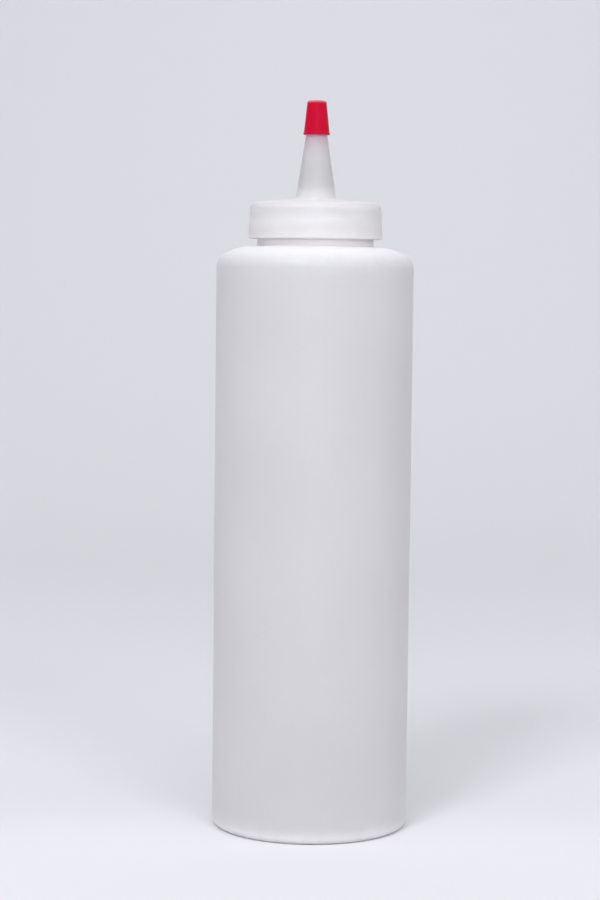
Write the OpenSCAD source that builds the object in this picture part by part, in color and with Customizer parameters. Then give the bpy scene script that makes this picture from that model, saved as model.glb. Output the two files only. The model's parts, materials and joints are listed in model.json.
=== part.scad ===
// Glue applicator bottle: a squeeze bottle, its screw-on spout cap with a sealing ring,
// and the small push-on cap that closes the spout.
// Millimetres, +Z up. The origin is the middle of the foot, on the surface it stands on.

/* [Bottle] */
// Outside diameter of the straight body
body_d = 59; // [52:0.5:70]
// Height of the shoulder, from the foot to the root of the neck
shoulder_h = 174.8; // [90:0.1:220]
// Wall thickness of the body and shoulder
wall = 1.1; // [0.8:0.1:2]
// Thickness of the base
base_t = 1.6; // [1:0.1:3]
// Outside radius of the heel, where the wall turns into the foot
heel_r = 2; // [1:0.1:3]
// How far the middle of the base is pushed up
push_up = 2.2; // [1:0.1:4]
// Inside diameter of the flat ring that the bottle stands on
foot_inside_d = 48; // [38:0.5:50]
// Radius of the shoulder's shallow dome
dome_r = 20; // [16:0.5:30]
// Radius of the round corner between the dome and the wall
corner_r = 4.5; // [3:0.5:8]

/* [Neck and thread] */
// Outside diameter of the neck at the root of its thread
neck_d = 34.7; // [34:0.1:35]
// Diameter over the neck's thread
thread_d = 37; // [36.9:0.1:37.1]
// Bore of the neck
bore_d = 31.2; // [28:0.1:31.5]
// Height of the neck above the shoulder
neck_h = 10.2; // [9.4:0.1:11]
// Rise of the thread in one turn
pitch = 4.233; // [4:0.001:4.5]
// Turns of thread on the neck
neck_turns = 1.25; // [1:0.05:1.3]
// Turns of thread inside the cap
cap_turns = 1.1; // [0.8:0.05:1.15]
// Direction in which the neck's thread starts, in degrees
thread_angle = 60; // [5:5:355]

/* [Spout cap] */
// Outside diameter of the skirt at its lower edge
cap_d = 40.1; // [40:0.1:44]
// Outside diameter of the skirt at its upper edge
cap_top_d = 39.2; // [39.1:0.1:40]
// Height of the skirt
cap_h = 10.9; // [10.5:0.1:12]
// Gap between the skirt's lower edge and the root of the neck
cap_gap = 2.2; // [1.8:0.1:2.6]
// Radius of the skirt's round upper edge
cap_edge_r = 1.5; // [0.8:0.1:1.8]
// Thickness of the sealing ring
liner_t = 1.2; // [0.8:0.1:1.3]
// Inside diameter of the sealing ring
liner_bore_d = 27; // [22:0.5:28]

/* [Spout] */
// Diameter where the spout's cone would meet the cap's top
spout_base_d = 12.2; // [11:0.1:16]
// Diameter at the spout's tip
spout_tip_d = 3.6; // [3:0.1:4]
// Height of the spout above the cap's top edge
spout_h = 28.9; // [24:0.1:34]
// Wall thickness of the spout
spout_wall = 1.05; // [0.8:0.05:1.2]
// Radius of the fillet around the spout's foot
spout_fillet_r = 1.3; // [0.8:0.1:2]

/* [Tip cap] */
// Length of the tip cap
tip_h = 10.1; // [8:0.1:12]
// Diameter of the tip cap's rim
tip_rim_d = 7.9; // [7.9:0.1:8.4]
// Diameter of the tip cap where its wall leaves the rim
tip_low_d = 7.6; // [7.6:0.1:7.8]
// Diameter of the tip cap at its closed end
tip_top_d = 5.8; // [5.6:0.1:6.4]
// Height of the rim
tip_rim_h = 0.8; // [0.5:0.1:1.5]
// Radius of the closed end's round edge
tip_edge_r = 0.7; // [0.3:0.1:0.9]

/* [Hidden] */
$fn = 96;

// Colours
MILKY = [0.93, 0.94, 0.96];
WHITE = [0.97, 0.97, 0.98];
FOAM = [0.90, 0.90, 0.88];
RED = [0.80, 0.03, 0.17];

// Clearances between pieces that move
WALL_GAP = 0.3;
CREST_GAP = 0.35;
FLANK_GAP = 0.2;
LINER_GAP = 0.4;
TIP_GAP = 0.12;
TIP_END_GAP = 0.2;

// Segments on each round stretch of an outline, and in one turn of a thread
ARC_STEPS = 8;
TURN_STEPS = 36;

// Bottle
body_r = body_d / 2;
neck_r = neck_d / 2;
bore_r = bore_d / 2;
neck_fillet_r = 0.5;
lip_r = 0.5;
lip_z = shoulder_h + neck_h;
// The dome's centre stands over the neck's fillet, and its end is tangent to the corner.
dome_c = [neck_r + neck_fillet_r, shoulder_h - dome_r];
dome_sweep = asin((body_r - corner_r - dome_c.x) / (dome_r - corner_r));
corner_c = [body_r - corner_r, dome_c.y + (dome_r - corner_r) * cos(dome_sweep)];
// The base is part of a large sphere, and the inside heel rests on the sphere's upper side.
foot_inside_r = foot_inside_d / 2;
push_r = (pow(foot_inside_r, 2) + pow(push_up, 2)) / (2 * push_up);
push_c = [0, push_up - push_r];
floor_r = push_r + base_t;
inside_r = body_r - wall;
inside_heel_r = 3;
inside_heel_x = inside_r - inside_heel_r;
inside_heel_c = [inside_heel_x,
    push_c.y + sqrt(pow(floor_r + inside_heel_r, 2) - pow(inside_heel_x, 2))];
inside_heel_end = atan2(push_c.y - inside_heel_c.y, -inside_heel_x);
throat_r = neck_r + neck_fillet_r - bore_r;

// Threads: heights above their own wall, and widths at the wall and at the crest
neck_thread_h = thread_d / 2 - neck_r;
neck_thread_w = [2.3, 0.9];
cap_thread_w = [1.9, 0.6];
thread_fade = 25;
thread_root = 0.3;
thread_start_below_lip = 2.35;
neck_thread_z = lip_z - thread_start_below_lip - neck_turns * pitch;

// Spout cap
cap_z = shoulder_h + cap_gap;
cap_top_z = cap_z + cap_h;
skirt_inside_r = thread_d / 2 + WALL_GAP;
cap_thread_h = skirt_inside_r - neck_r - CREST_GAP;
cap_ceiling_z = lip_z + liner_t;
skirt_lead = 0.4;
// The cap's thread lies under the neck's thread, one flank clearance away.
thread_offset = (neck_thread_w[0] + cap_thread_w[1]) / 2 + FLANK_GAP;
cap_thread_z = cap_z + cap_thread_w[0] / 2 + 0.15;
cap_thread_angle = thread_angle + 360 * (cap_thread_z + thread_offset - neck_thread_z) / pitch;

// Cap top: a shallow dome, drawn as part of a large sphere, under the skirt's round edge
cap_dome_rise = 1;
cap_edge_c = [cap_top_d / 2 - cap_edge_r, cap_top_z - cap_edge_r];
cap_dome_r = (pow(cap_edge_c.x, 2) + pow(cap_dome_rise, 2)) / (2 * cap_dome_rise);
cap_dome_c = [0, cap_top_z + cap_dome_rise - cap_dome_r];
cap_dome_sweep = asin(cap_edge_c.x / cap_dome_r);

// Spout: a cone, with a fillet tangent to it and to the cap's dome
spout_tip_z = cap_top_z + spout_h;
spout_slope = (spout_base_d - spout_tip_d) / 2 / (spout_h - cap_dome_rise);
spout_angle = atan(spout_slope);
function spout_r(z) = spout_tip_d / 2 + (spout_tip_z - z) * spout_slope;
fillet_k = spout_r(0) + spout_fillet_r / cos(spout_angle);
fillet_a = 1 + pow(spout_slope, 2);
fillet_b = fillet_k * spout_slope + cap_dome_c.y;
fillet_d = pow(fillet_k, 2) + pow(cap_dome_c.y, 2) - pow(cap_dome_r + spout_fillet_r, 2);
fillet_z = (fillet_b + sqrt(pow(fillet_b, 2) - fillet_a * fillet_d)) / fillet_a;
fillet_c = [fillet_k - fillet_z * spout_slope, fillet_z];
fillet_sweep = atan2(fillet_c.x, fillet_c.y - cap_dome_c.y);
channel_wall_x = spout_wall / cos(spout_angle);
tip_end_r = 0.3;

// Tip cap
tip_z = spout_tip_z + TIP_END_GAP + 1.1 - tip_h;
tip_top_z = tip_z + tip_h;
tip_inside_z = spout_tip_z + TIP_END_GAP;
tip_mouth_r = spout_r(tip_z) + TIP_GAP;
tip_inside_top_r = tip_top_d / 2 - 0.7;
tip_edge_c = [tip_top_d / 2 - tip_edge_r, tip_top_z - tip_edge_r];

// Points along an arc, from angle a0 to angle a1
function arc(c, r, a0, a1, steps = ARC_STEPS) =
    [for (i = [0:steps]) let (a = a0 + (a1 - a0) * i / steps) c + r * [cos(a), sin(a)]];

// A screw thread as one closed solid. It starts at height z0 and angle a0 and rises by one
// pitch each turn. Its foot is buried in the wall at wall_r, and its crest stands h away
// from the wall: outwards, or inwards if h is negative. Both ends fade into the wall.
module thread(wall_r, h, w, z0, a0, turns) {
    steps = ceil(turns * TURN_STEPS);
    side = sign(h);
    points = [for (i = [0:steps])
        let (
            turned = 360 * turns * i / steps,
            a = a0 + turned,
            z = z0 + pitch * turned / 360,
            full = min(1, turned / thread_fade, (360 * turns - turned) / thread_fade),
            crest_r = wall_r + h * full - side * 0.05,
            root_r = wall_r - side * thread_root
        )
        for (p = [[root_r, -w[0] / 2], [crest_r, -w[1] / 2], [crest_r, w[1] / 2], [root_r, w[0] / 2]])
            [p.x * cos(a), p.x * sin(a), z + p.y]];
    side_faces = [for (i = [0:steps - 1]) for (j = [0:3])
        let (k = (j + 1) % 4)
        each [
            [4 * i + j, 4 * i + k, 4 * (i + 1) + k],
            [4 * i + j, 4 * (i + 1) + k, 4 * (i + 1) + j]
        ]];
    last = 4 * steps;
    end_faces = [[3, 2, 1, 0], [last, last + 1, last + 2, last + 3]];
    all_faces = concat(side_faces, end_faces);
    polyhedron(points, side < 0 ? [for (f = all_faces) [for (i = [len(f) - 1:-1:0]) f[i]]] : all_faces);
}

// Squeeze bottle: one blown shell with a pushed-up base, a domed shoulder and a threaded neck
module bottle() {
    outline = concat(
        arc(push_c, push_r, 90, 90 - asin(foot_inside_r / push_r)),
        arc([body_r - heel_r, heel_r], heel_r, -90, 0),
        arc(corner_c, corner_r, 0, 90 - dome_sweep),
        arc(dome_c, dome_r, 90 - dome_sweep, 90),
        arc([neck_r + neck_fillet_r, shoulder_h + neck_fillet_r], neck_fillet_r, 270, 180),
        arc([neck_r - lip_r, lip_z - lip_r], lip_r, 0, 90),
        [[bore_r, lip_z]],
        arc([bore_r + throat_r, shoulder_h - wall + throat_r], throat_r, 180, 270),
        arc(dome_c, dome_r - wall, 90, 90 - dome_sweep),
        arc(corner_c, corner_r - wall, 90 - dome_sweep, 0),
        arc(inside_heel_c, inside_heel_r, 0, inside_heel_end),
        arc(push_c, floor_r, 90 - asin(inside_heel_x / (floor_r + inside_heel_r)), 90)
    );
    color(MILKY) {
        rotate_extrude() polygon(outline);
        thread(neck_r, neck_thread_h, neck_thread_w, neck_thread_z, thread_angle, neck_turns);
    }
}

// Sealing ring: lies on the neck's lip, under the ceiling of the cap
module cap_liner() {
    liner_r = skirt_inside_r - LINER_GAP;
    color(FOAM)
        translate([0, 0, lip_z])
            difference() {
                cylinder(h = liner_t, r = liner_r);
                translate([0, 0, -1]) cylinder(h = liner_t + 2, d = liner_bore_d);
            }
}

// Spout cap: skirt, domed top and hollow conical spout in one moulding
module spout_cap() {
    outline = concat(
        [[skirt_inside_r + skirt_lead, cap_z], [skirt_inside_r, cap_z + skirt_lead]],
        [[skirt_inside_r, cap_ceiling_z]],
        [[spout_r(cap_ceiling_z) - channel_wall_x, cap_ceiling_z]],
        [[spout_tip_d / 2 - channel_wall_x, spout_tip_z]],
        arc([spout_tip_d / 2 - tip_end_r, spout_tip_z - tip_end_r], tip_end_r, 90, spout_angle),
        arc(fillet_c, spout_fillet_r, 180 + spout_angle, 270 - fillet_sweep),
        arc(cap_dome_c, cap_dome_r, 90 - fillet_sweep, 90 - cap_dome_sweep),
        arc(cap_edge_c, cap_edge_r, 90, 0),
        [[cap_d / 2, cap_z + skirt_lead], [cap_d / 2 - skirt_lead, cap_z]]
    );
    color(WHITE) {
        rotate_extrude() polygon(outline);
        thread(skirt_inside_r, -cap_thread_h, cap_thread_w, cap_thread_z, cap_thread_angle, cap_turns);
    }
}

// Tip cap: a closed cone with a rim, pushed over the end of the spout
module tip_cap() {
    outline = concat(
        [[tip_mouth_r, tip_z], [tip_rim_d / 2 - 0.15, tip_z], [tip_rim_d / 2, tip_z + 0.15]],
        [[tip_rim_d / 2, tip_z + tip_rim_h - 0.25], [tip_low_d / 2, tip_z + tip_rim_h]],
        arc(tip_edge_c, tip_edge_r, 0, 90),
        [[0, tip_top_z], [0, tip_inside_z]],
        [[tip_inside_top_r, tip_inside_z]]
    );
    color(RED)
        rotate_extrude() polygon(outline);
}

bottle();
cap_liner();
spout_cap();
tip_cap();
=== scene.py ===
"""Looks for the glue applicator bottle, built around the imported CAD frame.

Each piece is turned from an outline in millimetres and stands where its CAD node stands. The
outlines take their main sizes from the nodes' boxes and the record, so they follow the CAD model.
"""

import json
import math

import bpy
from mathutils import Matrix, Vector, noise


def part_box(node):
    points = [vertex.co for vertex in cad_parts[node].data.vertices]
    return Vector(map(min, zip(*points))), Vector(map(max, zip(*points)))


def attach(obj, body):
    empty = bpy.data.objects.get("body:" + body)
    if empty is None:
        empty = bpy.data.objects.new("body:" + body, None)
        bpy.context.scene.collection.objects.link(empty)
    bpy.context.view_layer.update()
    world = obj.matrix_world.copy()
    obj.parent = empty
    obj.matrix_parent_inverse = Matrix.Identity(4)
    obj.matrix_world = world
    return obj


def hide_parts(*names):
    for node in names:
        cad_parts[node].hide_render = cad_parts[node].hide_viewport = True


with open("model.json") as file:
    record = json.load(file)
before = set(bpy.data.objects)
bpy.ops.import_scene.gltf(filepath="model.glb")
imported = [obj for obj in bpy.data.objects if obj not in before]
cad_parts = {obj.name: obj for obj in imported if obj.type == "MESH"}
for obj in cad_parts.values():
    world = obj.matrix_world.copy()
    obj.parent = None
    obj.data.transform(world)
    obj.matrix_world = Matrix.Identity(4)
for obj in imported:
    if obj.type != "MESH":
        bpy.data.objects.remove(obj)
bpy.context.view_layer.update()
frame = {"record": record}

# ---------------------------------------------------------------- sizes, in millimetres

MM = 0.001
SIDES = 288
SHARP_ANGLE = math.radians(38)


def box_mm(node):
    """Lowest and highest corner of a CAD node, in millimetres."""
    low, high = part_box(node)
    return low / MM, high / MM


def mount(name):
    """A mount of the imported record."""
    return next(m for m in frame["record"]["mounts"] if m["name"] == name)


BOTTLE_LOW, BOTTLE_HIGH = box_mm("bottle")
LINER_LOW, LINER_HIGH = box_mm("cap_liner")
CAP_LOW, CAP_HIGH = box_mm("spout_cap")
TIP_LOW, TIP_HIGH = box_mm("tip_cap")
COUPLING = frame["record"]["behaviour"]["couplings"][0]["ratio"]

# Bottle
BODY_R = mount("body")["dims"]["r_mm"]
LIP_Z = BOTTLE_HIGH.z
NECK_H = 10.2
SHOULDER_Z = LIP_Z - NECK_H
WALL = 1.1
BASE_T = 1.6
HEEL_R = 2.0
INSIDE_HEEL_R = 3.0
PUSH_UP = 2.2
FOOT_INSIDE_R = 24.0
DOME_R = 20.0
CORNER_R = 4.5
NECK_R = 17.35
NECK_FILLET_R = 0.5
BORE_R = 15.6
LIP_R = 0.5
BORE_EDGE_R = 0.3

# Threads: pitch from the coupling of lift to turn, widths at the wall and at the crest. Each
# fades in and out over THREAD_FADE degrees, and THREAD_CREST of its crest is flat.
PITCH = COUPLING * 2 * math.pi / MM
NECK_TURNS = 1.25
CAP_TURNS = 1.1
THREAD_ANGLE = 60.0
THREAD_FADE = 25.0
THREAD_BELOW_LIP = 2.35
THREAD_CREST = 0.8
NECK_THREAD_H = 1.15
CAP_THREAD_H = 1.1
NECK_THREAD_W = (2.3, 0.9)
CAP_THREAD_W = (1.9, 0.6)
FLANK_GAP = 0.2
NECK_THREAD_Z = LIP_Z - THREAD_BELOW_LIP - NECK_TURNS * PITCH
CAP_THREAD_Z = CAP_LOW.z + CAP_THREAD_W[0] / 2 + 0.15
THREAD_OFFSET = (NECK_THREAD_W[0] + CAP_THREAD_W[1]) / 2 + FLANK_GAP
CAP_THREAD_ANGLE = THREAD_ANGLE + 360 * (CAP_THREAD_Z + THREAD_OFFSET - NECK_THREAD_Z) / PITCH

# Spout cap
CAP_R = CAP_HIGH.x
CAP_TOP_R = CAP_R - 0.45
CAP_H = 10.9
CAP_TOP_Z = CAP_LOW.z + CAP_H
CAP_EDGE_R = 1.9
CAP_FOOT_R = 0.7
CAP_DOME_RISE = 1.0
CAP_INSIDE_R = 18.8
CAP_LEAD = 0.4
CEILING_EDGE_R = 0.3
FUNNEL_R = 0.6
SPOUT_TIP_EDGE_R = 0.3
ORIFICE_EDGE_R = 0.15
CEILING_Z = LINER_HIGH.z
SPOUT_TIP_Z = CAP_HIGH.z
SPOUT_TIP_R = 1.8
SPOUT_BASE_R = 6.1
SPOUT_WALL = 1.05
SPOUT_FILLET_R = 1.3

# Sealing ring
LINER_BORE_R = 13.5
LINER_EDGE_R = 0.2

# Tip cap
TIP_RIM_R = TIP_HIGH.x
TIP_RIM_H = 0.8
TIP_LOW_R = 3.8
TIP_TOP_R = 2.9
TIP_EDGE_R = 0.7
TIP_END_T = 1.1
TIP_GAP = 0.12
TIP_WALL_AT_TOP = 0.7
TIP_INSIDE_EDGE_R = 0.3
TIP_MOUTH_EDGE_R = 0.1
TIP_RIM_EDGE_R = 0.18
DIMPLE_R = 1.0
DIMPLE_DEPTH = 0.12
DIMPLE_SLOPE = 0.1

# The mould's parting line on the bottle, and how uneven a blown wall is
SEAM_ANGLE = math.radians(8)
SEAM_H = 0.11
SEAM_W = 0.18
PINCH_H = 0.35
PINCH_W = 0.35
UNEVEN = 0.05
UNEVEN_SIZE = 34.0

# ---------------------------------------------------------------- outlines


def arc(centre, radius, start, end, step=0.3):
    """Points along an arc, from angle start to angle end in degrees, about step apart."""
    count = max(4, math.ceil(abs(math.radians(end - start)) * radius / step))
    angles = [math.radians(start + (end - start) * i / count) for i in range(count + 1)]
    return [(centre[0] + radius * math.cos(a), centre[1] + radius * math.sin(a)) for a in angles]


def line(a, b, step):
    """Points from a to b, at most step apart."""
    count = max(1, math.ceil(math.dist(a, b) / step))
    return [tuple(p + (q - p) * i / count for p, q in zip(a, b)) for i in range(count + 1)]


def joined(*parts):
    """One outline from several, without points that repeat."""
    points = []
    for part in parts:
        for p in part:
            if not points or math.dist(points[-1], p) > 1e-4:
                points.append(p)
    return points


def bottle_outline():
    """Outside from the middle of the foot up to the lip, then the inside down to the floor."""
    dome = (NECK_R + NECK_FILLET_R, SHOULDER_Z - DOME_R)
    sweep = math.degrees(math.asin((BODY_R - CORNER_R - dome[0]) / (DOME_R - CORNER_R)))
    corner = (BODY_R - CORNER_R, dome[1] + (DOME_R - CORNER_R) * math.cos(math.radians(sweep)))
    fillet = (NECK_R + NECK_FILLET_R, SHOULDER_Z + NECK_FILLET_R)
    push_r = (FOOT_INSIDE_R**2 + PUSH_UP**2) / (2 * PUSH_UP)
    push = (0.0, PUSH_UP - push_r)
    push_end = 90 - math.degrees(math.asin(FOOT_INSIDE_R / push_r))
    floor_r = push_r + BASE_T
    inside_r = BODY_R - WALL
    heel_x = inside_r - INSIDE_HEEL_R
    heel_y = push[1] + math.sqrt((floor_r + INSIDE_HEEL_R) ** 2 - heel_x**2)
    heel_end = math.degrees(math.atan2(push[1] - heel_y, -heel_x))
    floor_start = 90 - math.degrees(math.asin(heel_x / (floor_r + INSIDE_HEEL_R)))
    throat_r = NECK_R + NECK_FILLET_R - BORE_R
    throat = (BORE_R + throat_r, SHOULDER_Z - WALL + throat_r)
    thread_low = SHOULDER_Z + NECK_FILLET_R
    return joined(
        arc(push, push_r, 90, push_end, 0.7),
        arc((BODY_R - HEEL_R, HEEL_R), HEEL_R, -90, 0, 0.15),
        line((BODY_R, HEEL_R), (BODY_R, corner[1]), 2.5),
        arc(corner, CORNER_R, 0, 90 - sweep, 0.25),
        arc(dome, DOME_R, 90 - sweep, 90, 0.4),
        arc(fillet, NECK_FILLET_R, 270, 180, 0.1),
        line((NECK_R, thread_low), (NECK_R, LIP_Z - LIP_R), 0.13),
        arc((NECK_R - LIP_R, LIP_Z - LIP_R), LIP_R, 0, 90, 0.1),
        arc((BORE_R + BORE_EDGE_R, LIP_Z - BORE_EDGE_R), BORE_EDGE_R, 90, 180, 0.1),
        line((BORE_R, LIP_Z - BORE_EDGE_R), (BORE_R, throat[1]), 1.0),
        arc(throat, throat_r, 180, 270, 0.3),
        arc(dome, DOME_R - WALL, 90, 90 - sweep, 0.5),
        arc(corner, CORNER_R - WALL, 90 - sweep, 0, 0.3),
        line((inside_r, corner[1]), (inside_r, heel_y), 2.5),
        arc((heel_x, heel_y), INSIDE_HEEL_R, 0, heel_end, 0.3),
        arc(push, floor_r, floor_start, 90, 0.8),
    )


def spout_radius(z):
    """Radius of the spout's cone at height z."""
    slope = (SPOUT_BASE_R - SPOUT_TIP_R) / (SPOUT_TIP_Z - CAP_TOP_Z - CAP_DOME_RISE)
    return SPOUT_TIP_R + (SPOUT_TIP_Z - z) * slope


def cap_outline():
    """A closed ring: up the skirt's outside, up the spout, and back down through its inside."""
    slope = spout_radius(0) - spout_radius(1)
    lean = math.degrees(math.atan(slope))
    across = SPOUT_WALL / math.cos(math.radians(lean))
    edge = (CAP_TOP_R - CAP_EDGE_R, CAP_TOP_Z - CAP_EDGE_R)
    dome_r = (edge[0] ** 2 + CAP_DOME_RISE**2) / (2 * CAP_DOME_RISE)
    dome = (0.0, CAP_TOP_Z + CAP_DOME_RISE - dome_r)
    dome_end = 90 - math.degrees(math.asin(edge[0] / dome_r))
    # The fillet's centre is one fillet radius from the cone and from the dome.
    k = spout_radius(0) + SPOUT_FILLET_R / math.cos(math.radians(lean))
    a = 1 + slope**2
    b = k * slope + dome[1]
    c = k**2 + dome[1] ** 2 - (dome_r + SPOUT_FILLET_R) ** 2
    fillet_z = (b + math.sqrt(b**2 - a * c)) / a
    fillet = (k - fillet_z * slope, fillet_z)
    fillet_sweep = math.degrees(math.atan2(fillet[0], fillet[1] - dome[1]))
    orifice_r = SPOUT_TIP_R - across
    orifice = (orifice_r + ORIFICE_EDGE_R, SPOUT_TIP_Z - ORIFICE_EDGE_R)
    channel_r = spout_radius(CEILING_Z) - across
    channel_low = (channel_r - FUNNEL_R * slope, CEILING_Z + FUNNEL_R)
    tip_corner = (SPOUT_TIP_R - SPOUT_TIP_EDGE_R, SPOUT_TIP_Z - SPOUT_TIP_EDGE_R)
    ceiling_r = CAP_INSIDE_R - CEILING_EDGE_R
    inside = joined(
        line((CAP_INSIDE_R + CAP_LEAD, CAP_LOW.z), (CAP_INSIDE_R, CAP_LOW.z + CAP_LEAD), 0.2),
        line(
            (CAP_INSIDE_R, CAP_LOW.z + CAP_LEAD),
            (CAP_INSIDE_R, CEILING_Z - CEILING_EDGE_R),
            0.13,
        ),
        arc((ceiling_r, CEILING_Z - CEILING_EDGE_R), CEILING_EDGE_R, 0, 90, 0.1),
        line((ceiling_r, CEILING_Z), (channel_r + FUNNEL_R, CEILING_Z), 1.2),
        arc((channel_r + FUNNEL_R, CEILING_Z + FUNNEL_R), FUNNEL_R, 270, 180 + lean, 0.15),
        line(channel_low, (orifice_r, orifice[1]), 1.0),
        arc(orifice, ORIFICE_EDGE_R, 180, 90, 0.06),
    )
    outside = joined(
        arc(tip_corner, SPOUT_TIP_EDGE_R, 90, lean, 0.08),
        line(
            (spout_radius(SPOUT_TIP_Z - 1), SPOUT_TIP_Z - 1),
            (spout_radius(fillet_z + 0.5), fillet_z + 0.5),
            0.8,
        ),
        arc(fillet, SPOUT_FILLET_R, 180 + lean, 270 - fillet_sweep, 0.12),
        arc(dome, dome_r, 90 - fillet_sweep, dome_end, 0.6),
        arc(edge, CAP_EDGE_R, 90, 0, 0.12),
        line((CAP_TOP_R, edge[1]), (CAP_R, CAP_LOW.z + CAP_FOOT_R), 0.8),
        arc((CAP_R - CAP_FOOT_R, CAP_LOW.z + CAP_FOOT_R), CAP_FOOT_R, 0, -90, 0.1),
    )
    return joined(inside, outside)[::-1]


def tip_outline():
    """From the inside of the closed end down to the mouth, round the rim, and up to the top."""
    inside_z = TIP_HIGH.z - TIP_END_T
    inside_r = TIP_TOP_R - TIP_WALL_AT_TOP
    inside = (inside_r - TIP_INSIDE_EDGE_R, inside_z - TIP_INSIDE_EDGE_R)
    mouth_r = spout_radius(TIP_LOW.z) + TIP_GAP
    mouth = (mouth_r + TIP_MOUTH_EDGE_R, TIP_LOW.z + TIP_MOUTH_EDGE_R)
    edge = (TIP_TOP_R - TIP_EDGE_R, TIP_HIGH.z - TIP_EDGE_R)
    rim_r = TIP_RIM_R - TIP_RIM_EDGE_R
    rim_top = TIP_LOW.z + TIP_RIM_H
    dimple_z = TIP_HIGH.z - DIMPLE_DEPTH
    return joined(
        line((0.0, inside_z), (inside[0], inside_z), 0.5),
        arc(inside, TIP_INSIDE_EDGE_R, 90, 0, 0.1),
        line((inside_r, inside[1]), (mouth_r, mouth[1]), 0.5),
        arc(mouth, TIP_MOUTH_EDGE_R, 180, 270, 0.05),
        arc((rim_r, TIP_LOW.z + TIP_RIM_EDGE_R), TIP_RIM_EDGE_R, -90, 0, 0.06),
        arc((rim_r, rim_top - TIP_RIM_EDGE_R - 0.1), TIP_RIM_EDGE_R, 0, 60, 0.06),
        line((TIP_LOW_R, rim_top + 0.1), (TIP_TOP_R, edge[1]), 0.4),
        arc(edge, TIP_EDGE_R, 0, 90, 0.1),
        line((DIMPLE_R + DIMPLE_SLOPE, TIP_HIGH.z), (DIMPLE_R - DIMPLE_SLOPE, dimple_z), 0.1),
        line((DIMPLE_R - DIMPLE_SLOPE, dimple_z), (0.0, dimple_z), 0.4),
    )


def liner_outline():
    """A flat ring with slightly rounded edges."""
    edge = LINER_EDGE_R
    inner_r, outer_r = LINER_BORE_R, LINER_HIGH.x
    low, high = LINER_LOW.z, LINER_HIGH.z
    return joined(
        arc((outer_r - edge, low + edge), edge, -90, 0, 0.08),
        arc((outer_r - edge, high - edge), edge, 0, 90, 0.08),
        line((outer_r - edge, high), (inner_r + edge, high), 0.8),
        arc((inner_r + edge, high - edge), edge, 90, 180, 0.08),
        arc((inner_r + edge, low + edge), edge, 180, 270, 0.08),
        line((inner_r + edge, low), (outer_r - edge, low), 0.8),
    )


# ---------------------------------------------------------------- fine shapes on the outlines


def smooth(low, high, x):
    """0 below low, 1 above high, and an even curve between."""
    t = min(1.0, max(0.0, (x - low) / (high - low)))
    return t * t * (3 - 2 * t)


def thread_height(angle, z, start_angle, start_z, turns, widths, height):
    """How far a thread stands out of its wall at this angle and height. widths are its widths
    at the wall and at the crest."""
    best = 0.0
    first = (math.degrees(angle) - start_angle) % 360
    while first <= 360 * turns:
        centre = start_z + PITCH * first / 360
        full = min(1.0, first / THREAD_FADE, (360 * turns - first) / THREAD_FADE)
        profile = 1 - smooth(widths[1] / 2 * THREAD_CREST, widths[0] / 2, abs(z - centre))
        best = max(best, height * full * profile)
        first += 360
    return best


def uneven(angle, z):
    """The slow waviness of a blown wall, fading out towards the heel and the shoulder."""
    place = Vector((BODY_R * math.cos(angle), BODY_R * math.sin(angle), z)) / UNEVEN_SIZE
    fade = smooth(4, 25, z) * (1 - smooth(SHOULDER_Z - 22, SHOULDER_Z - 9, z))
    return UNEVEN * fade * noise.noise(place)


def parting_line(r, angle, z):
    """The ridge that the mould's two halves leave, and the pinched seam across the base."""
    across = r * math.sin(angle - SEAM_ANGLE)
    if z < PUSH_UP + 0.1 and r < FOOT_INSIDE_R:
        pinch = smooth(0, 1, (FOOT_INSIDE_R - 5 - r) / 3)
        return PINCH_H * pinch * math.exp(-((across / PINCH_W) ** 2))
    fade = smooth(0.6, 2.5, z) * (1 - smooth(SHOULDER_Z - 0.3, SHOULDER_Z + 0.3, z))
    return SEAM_H * fade * math.exp(-((across / SEAM_W) ** 2))


def bottle_shape(r, z, angle, outside):
    """Moves a point of the bottle: unevenness on both faces, seam and thread outside only."""
    out = uneven(angle, z) if r > BODY_R - WALL - 0.5 else 0.0
    if not outside:
        return out
    if z > SHOULDER_Z + NECK_FILLET_R and r > NECK_R - 0.01:
        return thread_height(
            angle, z, THREAD_ANGLE, NECK_THREAD_Z, NECK_TURNS, NECK_THREAD_W, NECK_THREAD_H
        )
    return out + parting_line(r, angle, z)


def cap_shape(r, z, angle, outside):
    """The thread inside the skirt."""
    if abs(r - CAP_INSIDE_R) > 0.01:
        return 0.0
    return thread_height(
        angle, z, CAP_THREAD_ANGLE, CAP_THREAD_Z, CAP_TURNS, CAP_THREAD_W, CAP_THREAD_H
    )


# ---------------------------------------------------------------- meshes


def outline_normals(points, closed):
    """The outward direction at each point of an outline."""
    normals = []
    count = len(points)
    for i in range(count):
        before = points[(i - 1) % count] if closed or i else points[i]
        after = points[(i + 1) % count] if closed or i < count - 1 else points[i]
        dr, dz = after[0] - before[0], after[1] - before[1]
        length = math.hypot(dr, dz)
        normals.append((dz / length, -dr / length))
    return normals


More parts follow.
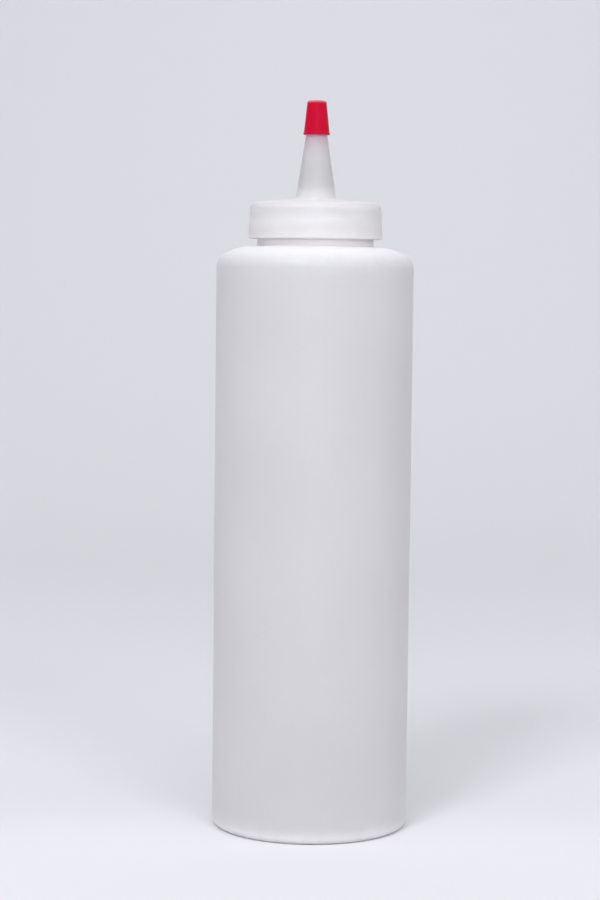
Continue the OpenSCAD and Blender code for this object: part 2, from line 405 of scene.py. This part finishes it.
def lathe(name, points, shape=None, outside_until=None, fine_angles=()):
    """Turns an outline round the axis. One that starts and ends on the axis closes there, and
    any other is a closed ring. shape gives how far to move a point along its normal."""
    closed = points[0][0] > 1e-6
    angles = sorted({i * 2 * math.pi / SIDES for i in range(SIDES)} | set(fine_angles))
    normals = outline_normals(points, closed)
    vertices, rings = [], []
    for i, ((r, z), normal) in enumerate(zip(points, normals)):
        outside = outside_until is None or i <= outside_until
        if r < 1e-6:
            rings.append([len(vertices)] * len(angles))
            push = shape(r, z, 0.0, outside) if shape else 0.0
            vertices.append((0.0, 0.0, (z + push * normal[1]) * MM))
            continue
        rings.append(range(len(vertices), len(vertices) + len(angles)))
        for angle in angles:
            push = shape(r, z, angle, outside) if shape else 0.0
            far, high = r + push * normal[0], z + push * normal[1]
            vertices.append((far * math.cos(angle) * MM, far * math.sin(angle) * MM, high * MM))
    faces = []
    pairs = list(zip(rings, rings[1:])) + ([(rings[-1], rings[0])] if closed else [])
    for low, high in pairs:
        for j in range(len(angles)):
            k = (j + 1) % len(angles)
            corners = [low[j], low[k], high[k], high[j]]
            face = [c for n, c in enumerate(corners) if c != corners[n - 1]]
            faces.append(face)
    mesh = bpy.data.meshes.new(name)
    mesh.from_pydata(vertices, [], faces)
    mesh.validate()
    mesh.shade_smooth()
    mesh.set_sharp_from_angle(angle=SHARP_ANGLE)
    piece = bpy.data.objects.new(name, mesh)
    bpy.context.scene.collection.objects.link(piece)
    return piece


# ---------------------------------------------------------------- materials


class Tree:
    """A material's node tree, with short ways to add what every plastic here uses."""

    def __init__(self, name):
        self.material = bpy.data.materials.new(name)
        self.material.use_nodes = True
        self.nodes = self.material.node_tree.nodes
        self.links = self.material.node_tree.links
        self.shader = self.nodes["Principled BSDF"]
        self.place = self.nodes.new("ShaderNodeTexCoord").outputs["Object"]

    def link(self, source, target):
        self.links.new(source, target)

    def scaled(self, x, y, z):
        """Object coordinates, in metres, times a scale in each direction."""
        node = self.nodes.new("ShaderNodeMapping")
        node.inputs["Scale"].default_value = (x, y, z)
        self.link(self.place, node.inputs["Vector"])
        return node.outputs["Vector"]

    def noise(self, scale, detail=3.0, rough=0.55):
        """Cloudy noise, 0 to 1, with scale patches a metre in each direction."""
        node = self.nodes.new("ShaderNodeTexNoise")
        node.inputs["Scale"].default_value = 1.0
        node.inputs["Detail"].default_value = detail
        node.inputs["Roughness"].default_value = rough
        self.link(self.scaled(*scale), node.inputs["Vector"])
        return node.outputs["Fac"]

    def range(self, value, low, high, to_low, to_high):
        """An even curve from to_low, at low, to to_high, at high."""
        node = self.nodes.new("ShaderNodeMapRange")
        node.interpolation_type = "SMOOTHSTEP"
        for key, number in (("From Min", low), ("From Max", high), ("To Min", to_low), ("To Max", to_high)):
            node.inputs[key].default_value = number
        self.link(value, node.inputs["Value"])
        return node.outputs["Result"]

    def maths(self, operation, a, b):
        """Two values put together, each a socket or a number."""
        node = self.nodes.new("ShaderNodeMath")
        node.operation = operation
        for socket, value in zip(node.inputs, (a, b)):
            if isinstance(value, (int, float)):
                socket.default_value = value
            else:
                self.link(value, socket)
        return node.outputs["Value"]

    def mix(self, factor, a, b):
        """Colour a where factor is 0 and colour b where it is 1."""
        node = self.nodes.new("ShaderNodeMix")
        node.data_type = "RGBA"
        self.link(factor, node.inputs[0])
        for socket, value in ((node.inputs[6], a), (node.inputs[7], b)):
            if isinstance(value, tuple):
                socket.default_value = (*value, 1)
            else:
                self.link(value, socket)
        return node.outputs[2]

    def height(self):
        """Height above the floor, in metres."""
        node = self.nodes.new("ShaderNodeSeparateXYZ")
        self.link(self.place, node.inputs[0])
        return node.outputs["Z"]

    def bump(self, *layers):
        """Bumps one after another, each as (height, strength, distance in metres)."""
        normal = None
        for value, strength, distance in layers:
            node = self.nodes.new("ShaderNodeBump")
            node.inputs["Strength"].default_value = strength
            node.inputs["Distance"].default_value = distance
            self.link(value, node.inputs["Height"])
            if normal is not None:
                self.link(normal, node.inputs["Normal"])
            normal = node.outputs["Normal"]
        self.link(normal, self.shader.inputs["Normal"])

    def scratches(self, scale, width, turn):
        """Fine, sparse, slightly bent lines: 1 on a line and 0 elsewhere."""
        node = self.nodes.new("ShaderNodeMapping")
        node.inputs["Rotation"].default_value = turn
        node.inputs["Scale"].default_value = scale
        self.link(self.place, node.inputs["Vector"])
        cells = self.nodes.new("ShaderNodeTexVoronoi")
        cells.feature = "DISTANCE_TO_EDGE"
        cells.inputs["Scale"].default_value = 1.0
        self.link(node.outputs["Vector"], cells.inputs["Vector"])
        lines = self.range(cells.outputs["Distance"], 0.0, width, 1.0, 0.0)
        spread = self.range(self.noise((45, 45, 30), 2.0), 0.52, 0.66, 0.0, 1.0)
        return self.maths("MULTIPLY", lines, spread)

    def scatter(self, depth, tint=(1.0, 1.0, 1.0)):
        """Light travels this far inside the plastic, in metres, in each colour."""
        self.shader.inputs["Subsurface Weight"].default_value = 1.0
        self.shader.inputs["Subsurface Radius"].default_value = tint
        if isinstance(depth, float):
            self.shader.inputs["Subsurface Scale"].default_value = depth
        else:
            self.link(depth, self.shader.inputs["Subsurface Scale"])


def by_height(tree, rows):
    """A value that changes with height: rows of (height in millimetres, value), lowest first."""
    value = rows[0][1]
    for (low, before), (high, after) in zip(rows, rows[1:]):
        step = tree.range(tree.height(), low * MM, high * MM, 0.0, after - before)
        value = tree.maths("ADD", step, value)
    return value


def polyethylene(
    name, colour, dark, depth, tint, roughness, grain, flow, wear_heights,
    painted_shading=(), painted_light=(), painted_light_colour=(1.0, 1.0, 1.0),
):
    """Satin moulded polyethylene: a slow cloudiness, fine vertical flow lines, a fine grain from
    the mould, a few hairline scratches, and scuffs at the heights where the piece gets rubbed.
    depth, painted_shading and painted_light are rows for by_height. painted_shading multiplies the colour:
    painted light and shade that change with height.
    painted_light brings in painted_light_colour: painted light, such as a glow or a highlight."""
    t = Tree(name)
    cloud = t.noise((22, 22, 14), 4.0)
    lines = t.noise(flow, 2.0)
    fine = t.noise((grain, grain, grain), 2.0, 0.6)
    hair = t.maths(
        "MAXIMUM",
        t.scratches((260, 40, 160), 0.012, (0.5, 0.3, 0.9)),
        t.scratches((50, 300, 120), 0.010, (0.2, 0.8, 0.4)),
    )
    worn = None
    for middle, reach in wear_heights:
        above = t.range(t.height(), (middle - reach) * MM, middle * MM, 0.0, 1.0)
        below = t.range(t.height(), middle * MM, (middle + reach) * MM, 1.0, 0.0)
        band = t.maths("MULTIPLY", above, below)
        worn = band if worn is None else t.maths("MAXIMUM", worn, band)
    patchy = t.range(t.noise((240, 240, 240), 5.0, 0.7), 0.45, 0.7, 0.0, 1.0)
    scuffs = t.maths("MULTIPLY", worn, patchy)
    base = t.mix(t.range(cloud, 0.3, 0.7, 0.0, 1.0), colour, dark)
    base = t.mix(t.maths("MULTIPLY", scuffs, 0.35), base, tuple(c * 0.9 for c in dark))
    base = t.mix(t.maths("MULTIPLY", hair, 0.25), base, tuple(c * 0.93 for c in dark))
    # Painted light and shade: the colour darkened or kept bright by height.
    if painted_shading:
        base = t.mix(by_height(t, painted_shading), (0.0, 0.0, 0.0), base)
    # Painted light: a colour brought in by height, such as a glow or a highlight.
    if painted_light:
        base = t.mix(by_height(t, painted_light), base, painted_light_colour)
    t.link(base, t.shader.inputs["Base Color"])
    rough = t.range(cloud, 0.3, 0.7, roughness - 0.03, roughness + 0.03)
    rough = t.maths("ADD", rough, t.maths("MULTIPLY", fine, 0.06))
    rough = t.maths("ADD", rough, t.maths("MULTIPLY", scuffs, 0.16))
    rough = t.maths("ADD", rough, t.maths("MULTIPLY", hair, 0.1))
    t.link(rough, t.shader.inputs["Roughness"])
    t.shader.inputs["IOR"].default_value = 1.5
    t.scatter(by_height(t, depth) if len(depth) > 1 else depth[0][1], tint)
    t.bump(
        (lines, 0.35, 0.00006),
        (cloud, 0.25, 0.0004),
        (fine, 0.35, 0.00003),
        (hair, -0.3, 0.00004),
    )
    return t.material


MILKY = polyethylene(
    "milky polyethylene",
    colour=(0.955, 0.93, 0.928),
    dark=(0.93, 0.905, 0.905),
    depth=((SHOULDER_Z - 5.0, 0.0065), (SHOULDER_Z + 0.5, 0.0006)),
    tint=(1.0, 1.0, 1.0),
    roughness=0.40,
    grain=2600,
    flow=(170, 170, 5),
    wear_heights=((1.0, 5.0), (SHOULDER_Z - 5, 6.0)),
    # Painted light and shade by height: darker towards the base, lighter up to the shoulder and on the
    # collar under the cap's edge, and darker again higher on the neck.
    painted_shading=(
        (6.0, 0.87),
        (100.0, 0.89),
        (SHOULDER_Z - 12, 0.93),
        (SHOULDER_Z - 2, 0.98),
        (SHOULDER_Z + 0.5, 0.99),
        (SHOULDER_Z + 1.5, 0.98),
        (SHOULDER_Z + 3.0, 0.82),
    ),
)
WHITE = polyethylene(
    "white polyethylene",
    colour=(0.86, 0.84, 0.82),
    dark=(0.84, 0.82, 0.80),
    depth=((CAP_TOP_Z + 0.6, 0.0040), (CAP_TOP_Z + 7.0, 0.0100)),
    tint=(1.0, 1.0, 1.0),
    roughness=0.44,
    grain=3000,
    flow=(260, 260, 30),
    wear_heights=((CAP_LOW.z, 2.5), (CAP_TOP_Z, 2.0)),
    # Painted shade by height: darker at the skirt's lower edge and at the top edge, and a little darker up
    # the spout.
    painted_shading=(
        (CAP_LOW.z + 0.5, 0.80),
        (CAP_LOW.z + 7, 1.0),
        (CAP_TOP_Z - 2.6, 1.0),
        (CAP_TOP_Z - 0.8, 0.76),
        (CAP_TOP_Z + 1.5, 1.0),
        (TIP_LOW.z - 4, 0.94),
    ),
    # Painted light: a pink glow on the spout just below the tip cap, as of red light coming through it.
    painted_light=((TIP_LOW.z - 8.0, 0.0), (TIP_LOW.z + 0.5, 1.0)),
    painted_light_colour=(0.72, 0.42, 0.54),
)
RED = polyethylene(
    "red polyethylene",
    colour=(0.55, 0.002, 0.030),
    dark=(0.50, 0.001, 0.025),
    depth=((0.0, 0.0008),),
    tint=(1.0, 0.15, 0.2),
    roughness=0.36,
    grain=3600,
    flow=(420, 420, 60),
    wear_heights=((TIP_LOW.z, 0.8),),
    # Painted highlight: a paler pink band along the top edge.
    painted_light=((TIP_HIGH.z - 0.9, 0.0), (TIP_HIGH.z - 0.2, 0.5)),
    painted_light_colour=(0.80, 0.30, 0.36),
)
RED_SHADER = RED.node_tree.nodes["Principled BSDF"]
RED_SHADER.inputs["Specular IOR Level"].default_value = 0.15
RED_SHADER.inputs["Specular Tint"].default_value = (1.0, 0.45, 0.55, 1.0)


def foam():
    """Closed-cell foam: dull white, with fine pores."""
    t = Tree("liner foam")
    pores = t.nodes.new("ShaderNodeTexVoronoi")
    pores.inputs["Scale"].default_value = 2800
    t.link(t.place, pores.inputs["Vector"])
    cloud = t.noise((60, 60, 60), 3.0)
    t.link(t.mix(cloud, (0.86, 0.86, 0.84), (0.78, 0.78, 0.76)), t.shader.inputs["Base Color"])
    t.link(t.range(pores.outputs["Distance"], 0.1, 0.7, 0.95, 0.75), t.shader.inputs["Roughness"])
    t.scatter(0.0006)
    t.bump((pores.outputs["Distance"], 0.5, 0.00008), (cloud, 0.3, 0.0001))
    return t.material


# ---------------------------------------------------------------- pieces

# Extra angles, in degrees from the seam, so that its ridge has mesh to stand on
SEAM_STEPS = (-1.0, -0.7, -0.5, -0.35, -0.2, 0.0, 0.2, 0.35, 0.5, 0.7, 1.0)
SEAM_ANGLES = [
    (SEAM_ANGLE + side * math.pi + math.radians(step)) % (2 * math.pi)
    for side in (0, 1)
    for step in SEAM_STEPS
]

# The bottle's outline is its outside as far as the lip's highest, outermost point.
outline = bottle_outline()
lip_index = max(range(len(outline)), key=lambda i: (outline[i][1], outline[i][0]))
bottle = lathe("bottle_shell", outline, bottle_shape, lip_index, SEAM_ANGLES)
spout_cap = lathe("spout_cap_moulding", cap_outline(), cap_shape)
tip_cap = lathe("tip_cap_moulding", tip_outline())
liner = lathe("sealing_ring", liner_outline())

for piece, material, node, body, slot in (
    (bottle, MILKY, "bottle", "bottle", "milky_polyethylene"),
    (spout_cap, WHITE, "spout_cap", "cap", "white_polyethylene"),
    (tip_cap, RED, "tip_cap", "tip", "red_polyethylene"),
    (liner, foam(), "cap_liner", "liner", "liner_foam"),
):
    piece.data.materials.append(material)
    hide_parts(node)
    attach(piece, body)

# ---------------------------------------------------------------- stage, light and camera, in metres

FLOOR_FRONT = -8.0
FLOOR_HALF = 8.0
BEND_START = 0.60
BEND_R = 0.7
WALL_TOP = 3.0


def paper():
    """Pale matt background paper."""
    t = Tree("background paper")
    fibre = t.noise((700, 700, 700), 3.0)
    cloud = t.noise((2, 2, 2), 2.0)
    t.link(t.mix(cloud, (0.80, 0.80, 0.81), (0.79, 0.79, 0.80)), t.shader.inputs["Base Color"])
    t.link(t.range(fibre, 0.3, 0.7, 0.85, 0.95), t.shader.inputs["Roughness"])
    t.shader.inputs["Specular IOR Level"].default_value = 0.25
    t.bump((fibre, 0.1, 0.0001))
    return t.material


def sweep():
    """One sheet: flat under the object, then curved up into a wall behind it."""
    path = [(FLOOR_FRONT, 0.0)]
    path += line((-0.5, 0.0), (BEND_START, 0.0), 0.1)
    bend = arc((BEND_START, BEND_R), BEND_R, 270, 360, 0.05)
    path += bend[1:] + [(BEND_START + BEND_R, WALL_TOP)]
    vertices = [(x, y, z) for y, z in path for x in (-FLOOR_HALF, FLOOR_HALF)]
    faces = [(2 * i, 2 * i + 1, 2 * i + 3, 2 * i + 2) for i in range(len(path) - 1)]
    mesh = bpy.data.meshes.new("sweep")
    mesh.from_pydata(vertices, [], faces)
    mesh.shade_smooth()
    mesh.materials.append(paper())
    obj = bpy.data.objects.new("sweep", mesh)
    bpy.context.scene.collection.objects.link(obj)


sweep()


LIGHT_COLOUR = (0.94, 0.94, 1.0)
AMBIENT = 0.36
KEY_POWER = 8.5
AIM = (0.0, 0.0, 0.1)


def softbox(name, place, target, size, power):
    """A rectangular area light that points at target and that the camera can't see."""
    light = bpy.data.lights.new(name, "AREA")
    light.shape = "RECTANGLE"
    light.size, light.size_y = size
    light.energy = power
    light.color = LIGHT_COLOUR
    obj = bpy.data.objects.new(name, light)
    obj.location = place
    way = Vector(target) - Vector(place)
    obj.rotation_euler = way.to_track_quat("-Z", "Y").to_euler()
    obj.visible_camera = False
    bpy.context.scene.collection.objects.link(obj)


# The key stands high on the left and a weaker second lamp on the right, so shadows fall behind the
# object on both sides. The low front lamp reaches the neck under the cap's edge.
softbox("key", (-0.5, -1.1, 1.2), AIM, (0.4, 0.4), KEY_POWER)
softbox("second", (0.6, -1.2, 0.9), AIM, (0.4, 0.4), KEY_POWER * 0.45)
softbox("front", (0.0, -1.5, 0.45), AIM, (0.8, 0.2), KEY_POWER * 0.6)
softbox("overhead", (0.0, -0.5, 1.25), AIM, (1.0, 0.7), KEY_POWER * 0.4)
softbox("behind", (0.0, 0.6, 1.4), AIM, (1.2, 0.4), KEY_POWER * 0.3)
softbox("right", (1.3, -0.4, 0.7), AIM, (0.9, 0.9), KEY_POWER * 0.36)
softbox("left", (-1.3, -0.4, 0.7), AIM, (0.9, 0.9), KEY_POWER * 0.28)
# One more lights only the bend of the sweep behind the object.
softbox("backdrop", (0.1, 0.7, 0.7), (0.05, 1.2, 0.15), (0.5, 0.2), KEY_POWER * 0.03)

world = bpy.data.worlds.new("studio")
world.use_nodes = True
sky = world.node_tree.nodes["Background"]
sky.inputs["Color"].default_value = (*LIGHT_COLOUR, 1.0)
sky.inputs["Strength"].default_value = AMBIENT
bpy.context.scene.world = world
bpy.context.scene.view_settings.view_transform = "Standard"

# The camera stands in front of the object, turned down a little and rolled slightly.
CAMERA_SIDE = -0.00392
CAMERA_BACK = 0.6965
CAMERA_HEIGHT = 0.1682
CAMERA_DOWN = math.radians(4.47)
CAMERA_ROLL = math.radians(0.635)
LENS = 92.78

camera_data = bpy.data.cameras.new("camera")
camera_data.lens = LENS
camera_data.sensor_width = 36.0
camera = bpy.data.objects.new("camera", camera_data)
camera.matrix_world = (
    Matrix.Translation((CAMERA_SIDE, -CAMERA_BACK, CAMERA_HEIGHT))
    @ Matrix.Rotation(math.pi / 2 - CAMERA_DOWN, 4, "X")
    @ Matrix.Rotation(CAMERA_ROLL, 4, "Z")
)
bpy.context.scene.collection.objects.link(camera)
bpy.context.scene.camera = camera
